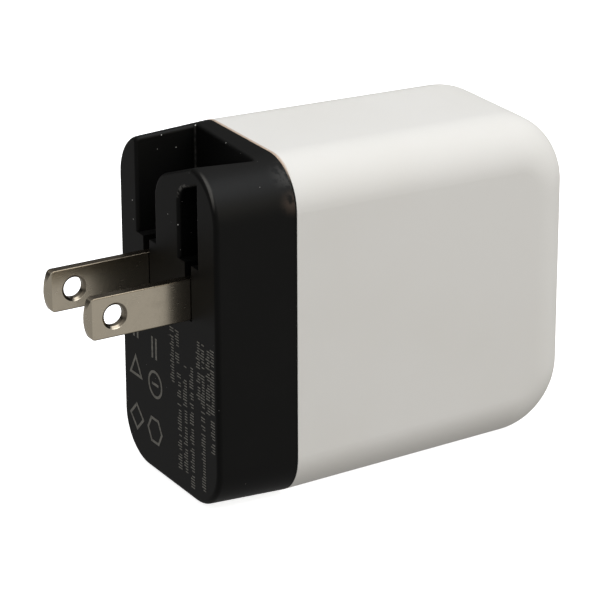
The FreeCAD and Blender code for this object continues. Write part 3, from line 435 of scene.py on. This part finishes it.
FERRITES = ["choke_core", *left_and_right("transformer_core")]
CHIPS = ["bridge_rectifier", "power_switch_chip", "rectifier_chip", "optocoupler", "protocol_chip"]
INSERTS = ["usb_c_upper_insert", "usb_c_lower_insert", "usb_a_insert"]
INNER = [
    (("fuse_case", (0.16, 0.07, 0.03), 0.35), ["fuse"]),
    (("varistor_coat", (0.03, 0.09, 0.36), 0.30), ["varistor"]),
    (("film_case", (0.80, 0.58, 0.07), 0.35), ["x_capacitor"]),
    (("ferrite", (0.045, 0.045, 0.05), 0.55, 1.5, 0.25, 0.02), FERRITES),
    (("package_epoxy", (0.02, 0.02, 0.022), 0.55), [*CHIPS, "output_inductor"]),
    (("bobbin_plastic", (0.03, 0.03, 0.03), 0.4), ["transformer_bobbin"]),
    (("polyester_tape", (0.80, 0.52, 0.05), 0.28), ["transformer_tape"]),
    (("capacitor_sleeve", (0.03, 0.04, 0.07), 0.25), numbered("bulk_capacitor")),
    (("silicone_pad", (0.30, 0.33, 0.42), 0.7, 1.5, 0.25, 0.03), ["thermal_pad"]),
    (("insulating_film", (0.02, 0.02, 0.02), 0.3), ["insulating_sheet"]),
    (("ceramic_coat", (0.04, 0.16, 0.42), 0.35), ["y_capacitor"]),
    (("socket_plastic", (0.018, 0.018, 0.018), 0.45), INSERTS),
]
for values, names in INNER:
    paint(moulded(*values), *names)

# %% Bare metals inside
CONTACTS = ["usb_c_upper_contacts", "usb_c_lower_contacts", "usb_a_contacts"]
WINDINGS = [*left_and_right("choke_winding"), "transformer_winding"]
SPRINGS = [*left_and_right("contact_spring"), "detent_spring"]
METALS = [
    ("copper_wire", (0.72, 0.30, 0.14), 0.3, WINDINGS),
    ("spring_bronze", (0.75, 0.48, 0.28), 0.3, SPRINGS),
    ("aluminium", (0.74, 0.74, 0.75), 0.35, ["heat_spreader", *numbered("output_capacitor")]),
    ("contact_gold", (0.85, 0.60, 0.24), 0.22, CONTACTS),
]
for name, colour, rough, names in METALS:
    paint(moulded(name, colour, rough, contrast=0.15, Metallic=1.0), *names)

# %% [markdown]
# ## Surfaces from arrays
#
# The new pieces are small: bands and strokes of ink, and one long bead. A band or a bead is worked out as
# an array of points with two parameters, which numpy fills in one go. `grid_mesh` joins neighbours in
# such an array into four-sided faces, and can close it on itself along either parameter.


# %% Mesh helpers
def grid_quads(rows, columns, closed_rows, closed_columns):
    """Faces of a grid: each joins point (i, j) with its neighbours (i+1, j), (i+1, j+1) and (i, j+1)."""
    index = np.arange(rows * columns).reshape(rows, columns)
    if closed_rows:
        index = np.vstack([index, index[:1]])
    if closed_columns:
        index = np.hstack([index, index[:, :1]])
    corners = [index[:-1, :-1], index[1:, :-1], index[1:, 1:], index[:-1, 1:]]
    return np.stack(corners, axis=-1).reshape(-1, 4)


def mesh_of(name, points, quads):
    """Mesh from points in millimetres and four-sided faces."""
    mesh = bpy.data.meshes.new(name)
    mesh.from_pydata((points.reshape(-1, 3) * MM).tolist(), [], quads.tolist())
    mesh.update()
    return mesh


def grid_mesh(name, points, closed_rows=False, closed_columns=False):
    """Mesh of a surface given as an array of points in millimetres, shape (rows, columns, 3)."""
    return mesh_of(name, points, grid_quads(*points.shape[:2], closed_rows, closed_columns))


def add_object(name, mesh, finish):
    """Object at the origin, with one material."""
    made = bpy.data.objects.new(name, mesh)
    bpy.context.scene.collection.objects.link(made)
    mesh.materials.append(finish.material)
    return made


def add_piece(name, mesh, finish):
    """A finished piece that is fixed to the charger's body."""
    made = add_object(name, mesh, finish)
    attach(made, "charger_body")
    corners = np.array([v.co for v in mesh.vertices])
    span = (corners.max(axis=0) - corners.min(axis=0)) / MM
    print(name, len(mesh.polygons), "faces,", span.round(2), "mm")


print("helpers: grid_mesh and add_piece")

# %% [markdown]
# ## The bead in the parting line
#
# Where the two mouldings meet, a V-shaped groove runs round the case, and the weld leaves a thin bead of
# melt at its bottom. It is a round rod swept along the outline, which is a rectangle with large round
# corners. On every round corner the direction outwards is also the direction from the corner's centre, so
# the sweep needs no more than that: a point is the outline's point, moved along that direction and along
# Y by a small circle. Along the top the bead is painted a warm tan, a painted reflection of the lit edge,
# and elsewhere it stays dark.

# %% Weld bead
CORNER_RADIUS = 7.25
BEAD_RADIUS = 0.17
BEAD_DEPTH = 0.18
BEAD_SHIFT = -0.07


def bead_points(around=12, per_corner=24):
    """Corner centre + r (cos a, sin a) for a from 0 to 360, and a circle of the bead's radius about it."""
    angle = np.linspace(0, math.pi / 2, per_corner)[None, :] + np.arange(4)[:, None] * math.pi / 2
    sign_x = np.array([1, -1, -1, 1])[:, None]
    sign_z = np.array([1, 1, -1, -1])[:, None]
    half_x = (SHELL_HIGH[0] - SHELL_LOW[0]) / 2
    half_z = (SHELL_HIGH[2] - SHELL_LOW[2]) / 2
    middle_z = (TOP_Z + SHELL_LOW[2]) / 2
    turn = np.linspace(0, 2 * math.pi, around, endpoint=False)
    out_x, out_z = np.cos(angle).ravel(), np.sin(angle).ravel()
    centre_x = (sign_x * (half_x - CORNER_RADIUS) + 0 * angle).ravel()
    centre_z = (middle_z + sign_z * (half_z - CORNER_RADIUS) + 0 * angle).ravel()
    reach = CORNER_RADIUS - BEAD_DEPTH + BEAD_RADIUS * np.cos(turn)[None, :]
    x = centre_x[:, None] + out_x[:, None] * reach
    z = centre_z[:, None] + out_z[:, None] * reach
    y = PARTING_Y + BEAD_SHIFT - BEAD_RADIUS * np.sin(turn)[None, :] + 0 * x
    return np.stack([x, y, z], axis=-1)


BEAD_ROUGHNESS = 0.42
BEAD_RELIEF = 0.01
BEAD_REFLECTION_DROP = (3.2, 0.4)     # the painted tan reflection starts here below the top, and is full from here


def bead_finish():
    """Black melt with a painted tan reflection along the top, a little uneven."""
    f = Finish("weld_bead", BLACK, BEAD_ROUGHNESS, Specular_IOR_Level=0.3)
    # painted reflection: tan towards the top of the bead
    top_reflection = f.axis("Z").rise(TOP_Z - BEAD_REFLECTION_DROP[0], TOP_Z - BEAD_REFLECTION_DROP[1])
    uneven = f.noise(1.8, 3.0)
    tone = f.mix(top_reflection * (0.75 + uneven * 0.5), BLACK, TAN_REFLECTION)
    f.set({"Base Color": tone, "Roughness": BEAD_ROUGHNESS + uneven * 0.15})
    f.bump(uneven, BEAD_RELIEF)
    return f


BEAD_MESH = grid_mesh("weld_bead", bead_points(), True, True)
add_piece("weld_bead", BEAD_MESH, bead_finish())

# %% [markdown]
# ## The print on the plug face
#
# The plug face carries a rating legend in pale grey pad-printed ink. Here it is only the look of one:
# rows of hatch strokes with gaps as between words, and a few plain shapes. Ink from a pad is some
# hundredths of a millimetre thick, so each stroke and bar is a very flat box and each shape is a very
# flat band, all of them closed solids. They reach a little below the face, so that no gap shows.

# %% Ink finish
INK = (0.285, 0.275, 0.245)
INK_WORN = tuple(c * 0.55 for c in INK)
INK_ROUGHNESS = 0.5
INK_RELIEF = 0.002
INK_BOTTOM, INK_TOP = -0.02, 0.015
INK_MIDDLE, INK_THICKNESS = (INK_BOTTOM + INK_TOP) / 2, INK_TOP - INK_BOTTOM


def ink_finish():
    """Pale grey ink, worn thin in patches."""
    f = Finish("legend_ink", INK, INK_ROUGHNESS, Specular_IOR_Level=0.25)
    worn = f.noise(0.5, 3.0)
    tone = f.mix(worn.rise(0.35, 0.75), INK, INK_WORN)
    f.set({"Base Color": tone, "Roughness": INK_ROUGHNESS + worn * 0.12})
    f.bump(worn, INK_RELIEF)
    return f


LEGEND_INK = ink_finish()

# %% Rows of hatch strokes: X of the row, and Z of its start and end
ROWS = [
    (-13.1, -5.9, -22.3),
    (-11.8, -5.9, -16.4),
    (-10.2, -5.9, -29.0),
    (-8.9, -5.9, -15.9),
    (-6.8, -10.7, -29.8),
    (-4.8, -10.7, -27.9),
    (-3.0, -13.0, -28.3),
    (-2.6, -6.4, -11.4),
    (-1.0, -6.4, -15.0),
]
STROKE_PITCH = 0.44
STROKE_WIDTH = 0.18
STROKE_HEIGHTS = (0.75, 1.15)
BLANK_SHARE = 0.16
BOX_CORNERS = np.array([(i, j, k) for i in (-0.5, 0.5) for j in (-0.5, 0.5) for k in (-0.5, 0.5)])
BOX_FACES = np.array([(0, 1, 3, 2), (4, 6, 7, 5), (0, 4, 5, 1), (2, 3, 7, 6), (0, 2, 6, 4), (1, 5, 7, 3)])


def ink_boxes(x, z, size_x, size_z):
    """Points and quads of flat boxes: a corner is (x, middle, z) + size * (-1/2 or 1/2) on each axis."""
    centres = np.stack([x, np.full(len(x), INK_MIDDLE), z], axis=-1)
    sizes = np.stack([size_x, np.full(len(x), INK_THICKNESS), size_z], axis=-1)
    points = centres[:, None, :] + sizes[:, None, :] * BOX_CORNERS[None, :, :]
    first = len(BOX_CORNERS) * np.arange(len(x))
    return points, (BOX_FACES[None, :, :] + first[:, None, None]).reshape(-1, 4)


def stroke_boxes(rng):
    """Strokes at a steady pitch along every row, some left out, each as tall as the draw says."""
    strokes = []
    for x, start, end in ROWS:
        z = np.arange(start, end, -STROKE_PITCH)
        z = z[rng.random(len(z)) > BLANK_SHARE]
        height = rng.choice(STROKE_HEIGHTS, len(z))
        foot = x - (max(STROKE_HEIGHTS) - height) / 2
        strokes.append(np.stack([foot, z, height, np.full(len(z), STROKE_WIDTH)]))
    return ink_boxes(*np.concatenate(strokes, axis=1))


ROWS_MESH = mesh_of("legend_rows", *stroke_boxes(np.random.default_rng(7)))
add_piece("legend_rows", ROWS_MESH, LEGEND_INK)

# %% Four plain outlines: centre, radius, sides and turn
BAND_WIDTH = 0.42


def band_points(centre, radius, sides, turn):
    """Flat band round a regular polygon: centre + outer or inner radius * (cos a, sin a), at two levels."""
    angle = turn + np.arange(sides) * 2 * math.pi / sides
    inner = radius - BAND_WIDTH / math.cos(math.pi / sides)
    reach = np.array([radius, inner, inner, radius])
    level = np.array([INK_BOTTOM, INK_BOTTOM, INK_TOP, INK_TOP])
    x = centre[0] + np.cos(angle)[:, None] * reach[None, :]
    z = centre[1] + np.sin(angle)[:, None] * reach[None, :]
    return np.stack([x, level[None, :] + 0 * x, z], axis=-1)


BANDS = {
    "legend_hexagon": ((4.9, -25.0), 2.4, 6, 0.0),
    "legend_ring": ((4.5, -17.4), 2.2, 48, 0.0),
    "legend_triangle": ((10.6, -16.9), 2.4, 3, math.pi / 2),
    "legend_diamond": ((10.6, -24.7), 2.3, 4, 0.0),
}
for name, (centre, radius, sides, turn) in BANDS.items():
    mesh = grid_mesh(name, band_points(centre, radius, sides, turn), True, True)
    add_piece(name, mesh, LEGEND_INK)

# %% Bars: X and Z of each one's middle, and its size along X and Z
BARS = [
    (4.0, -11.6, 0.5, 3.4),
    (5.2, -11.6, 0.5, 3.4),
    (9.8, -10.6, 0.5, 2.4),
    (11.0, -10.6, 0.5, 2.4),
    (4.5, -17.4, 2.0, 0.4),
]
BARS_MESH = mesh_of("legend_bars", *ink_boxes(*np.array(BARS).T))
add_piece("legend_bars", BARS_MESH, LEGEND_INK)

# %% [markdown]
# ## A plain studio
#
# A white floor, one wide soft light above the near side, a weak one that warms the side and a small one
# off the plug. Most of what black plastic and nickel show is the surround itself, so that is a formula
# too. Below the horizon it is bright, as a white table would be, a little brighter towards the outlets,
# and darker straight down, where the charger shades the table. Above the horizon it is dark, and brighter
# again straight up, like a soft ceiling. The floor is kept out of the reflections and of the bounced
# light, because the surround already stands for it.

# %% Camera
CAMERA_AZIMUTH, CAMERA_ELEVATION, CAMERA_ROLL = 239.66, 21.42, -0.23
CAMERA_TARGET = np.array([4.74, -25.0, -9.07]) * MM
CAMERA_DISTANCE = 473.83 * MM
LENS_MM, SENSOR_MM = 188.6, 36.0
NEAREST = 10.0 * MM


def place_in_world(thing, right, up, back, where):
    """Turn and move an object so that its X, Y and Z axes are right, up and back."""
    matrix = np.eye(4)
    matrix[:3, 0], matrix[:3, 1], matrix[:3, 2], matrix[:3, 3] = right, up, back, where
    thing.matrix_world = matrix.T.tolist()


def add_camera():
    """The camera stands at target + distance * back and looks along -back, rolled a little about it."""
    a, e, roll = (math.radians(v) for v in (CAMERA_AZIMUTH, CAMERA_ELEVATION, CAMERA_ROLL))
    back = np.array([math.sin(a) * math.cos(e), -math.cos(a) * math.cos(e), math.sin(e)])
    level = np.array([math.cos(a), math.sin(a), 0.0])
    right = level * math.cos(roll) + np.cross(back, level) * math.sin(roll)
    data = bpy.data.cameras.new("studio_camera")
    data.lens = LENS_MM
    data.sensor_width = SENSOR_MM
    data.clip_start = NEAREST
    camera = bpy.data.objects.new("studio_camera", data)
    bpy.context.scene.collection.objects.link(camera)
    place_in_world(camera, right, np.cross(back, right), back, CAMERA_TARGET + back * CAMERA_DISTANCE)
    bpy.context.scene.camera = camera
    print("camera", round(CAMERA_DISTANCE, 3), "m from its target, lens", LENS_MM, "mm")


add_camera()

# %% Floor
FLOOR_HALF = 1600.0
FLOOR_COLOUR = (0.92, 0.92, 0.92)
FLOOR_GLOW = 0.86
SHELL_DRAFT = 1.0          # how much higher the underside is at the outlets than at the parting line


def add_floor():
    """A plane that follows the underside: z = the shell's lowest z - (y - parting y) * slope."""
    slope = SHELL_DRAFT / (SHELL_HIGH[1] - SHELL_LOW[1])
    across = np.linspace(-FLOOR_HALF, FLOOR_HALF, 3)
    x, y = np.meshgrid(across, across)
    z = SHELL_LOW[2] - (y - PARTING_Y) * slope
    paper = Finish("white_paper", FLOOR_COLOUR, 0.9, Specular_IOR_Level=0.0)
    paper.set({"Emission Color": (1, 1, 1, 1), "Emission Strength": FLOOR_GLOW})
    floor = add_object("studio_floor", grid_mesh("studio_floor", np.stack([x, y, z], axis=-1)), paper)
    floor.visible_diffuse = False
    floor.visible_glossy = False
    print("floor slope", round(slope, 4))


add_floor()

# %% Lights: direction, distance and size in metres, watts and colour
SOFTBOXES = {
    "key_box": ((-0.45, -0.27, 0.85), 0.95, 0.80, 5.55, (0.935, 0.965, 1.0)),
    "near_side_box": ((-0.90, -0.30, 0.32), 0.95, 0.40, 1.05, (1.0, 0.90, 0.73)),
    "plug_side_box": ((-0.113, 0.826, 0.551), 0.90, 0.14, 0.25, (1, 1, 1)),
}


def add_softbox(name, direction, distance, size, watts, colour):
    """Square area light in a direction from the charger's middle, facing it."""
    data = bpy.data.lights.new(name, "AREA")
    data.size = size
    data.energy = watts
    data.color = colour
    light = bpy.data.objects.new(name, data)
    bpy.context.scene.collection.objects.link(light)
    back = np.array(direction) / np.linalg.norm(direction)
    right = np.cross([0.0, 0.0, 1.0], back)
    right /= np.linalg.norm(right)
    place_in_world(light, right, np.cross(back, right), back, back * distance)


for name, values in SOFTBOXES.items():
    add_softbox(name, *values)
print("lights:", ", ".join(SOFTBOXES))

# %% Surround
SURROUND = (1.0, 0.99, 0.975)
BELOW = 0.470              # radiance just below the horizon
BELOW_TILT = -0.13         # its change from the middle to straight along +Y
BELOW_SHADE = 0.190        # its loss from the horizon to straight down
ABOVE = -0.15              # radiance above the horizon, were it level there
ABOVE_TILT = -0.10         # its change from the middle to straight along +X
ABOVE_RISE = 1.0           # its change from the horizon to straight up
ABOVE_LEAST = 0.02
HORIZON = 0.15             # z over which one side fades into the other


def add_surround():
    """Radiance by direction (x, y, z): b + t y + s z under the horizon, a + u x + r z over it."""
    world = bpy.data.worlds.new("studio_surround")
    world.use_nodes = True
    nodes = Nodes(world.node_tree)
    direction = {"Vector": nodes.node("ShaderNodeTexCoord", output="Generated")}
    x, y, z = (nodes.node("ShaderNodeSeparateXYZ", sockets=direction, output=axis) for axis in "XYZ")
    below = BELOW + y * BELOW_TILT + z * BELOW_SHADE
    above = ABOVE + x * ABOVE_TILT + z * ABOVE_RISE
    above = above.math("MAXIMUM", above, ABOVE_LEAST)
    strength = above + (below - above) * z.fall(-HORIZON, HORIZON)
    background = world.node_tree.nodes["Background"]
    background.inputs["Color"].default_value = (*SURROUND, 1.0)
    nodes.fill(background.inputs["Strength"], strength)
    bpy.context.scene.world = world
    bpy.context.scene.view_settings.view_transform = "Standard"
    print("surround: radiance", BELOW, "just below the horizon, at least", ABOVE_LEAST, "above it")


add_surround()
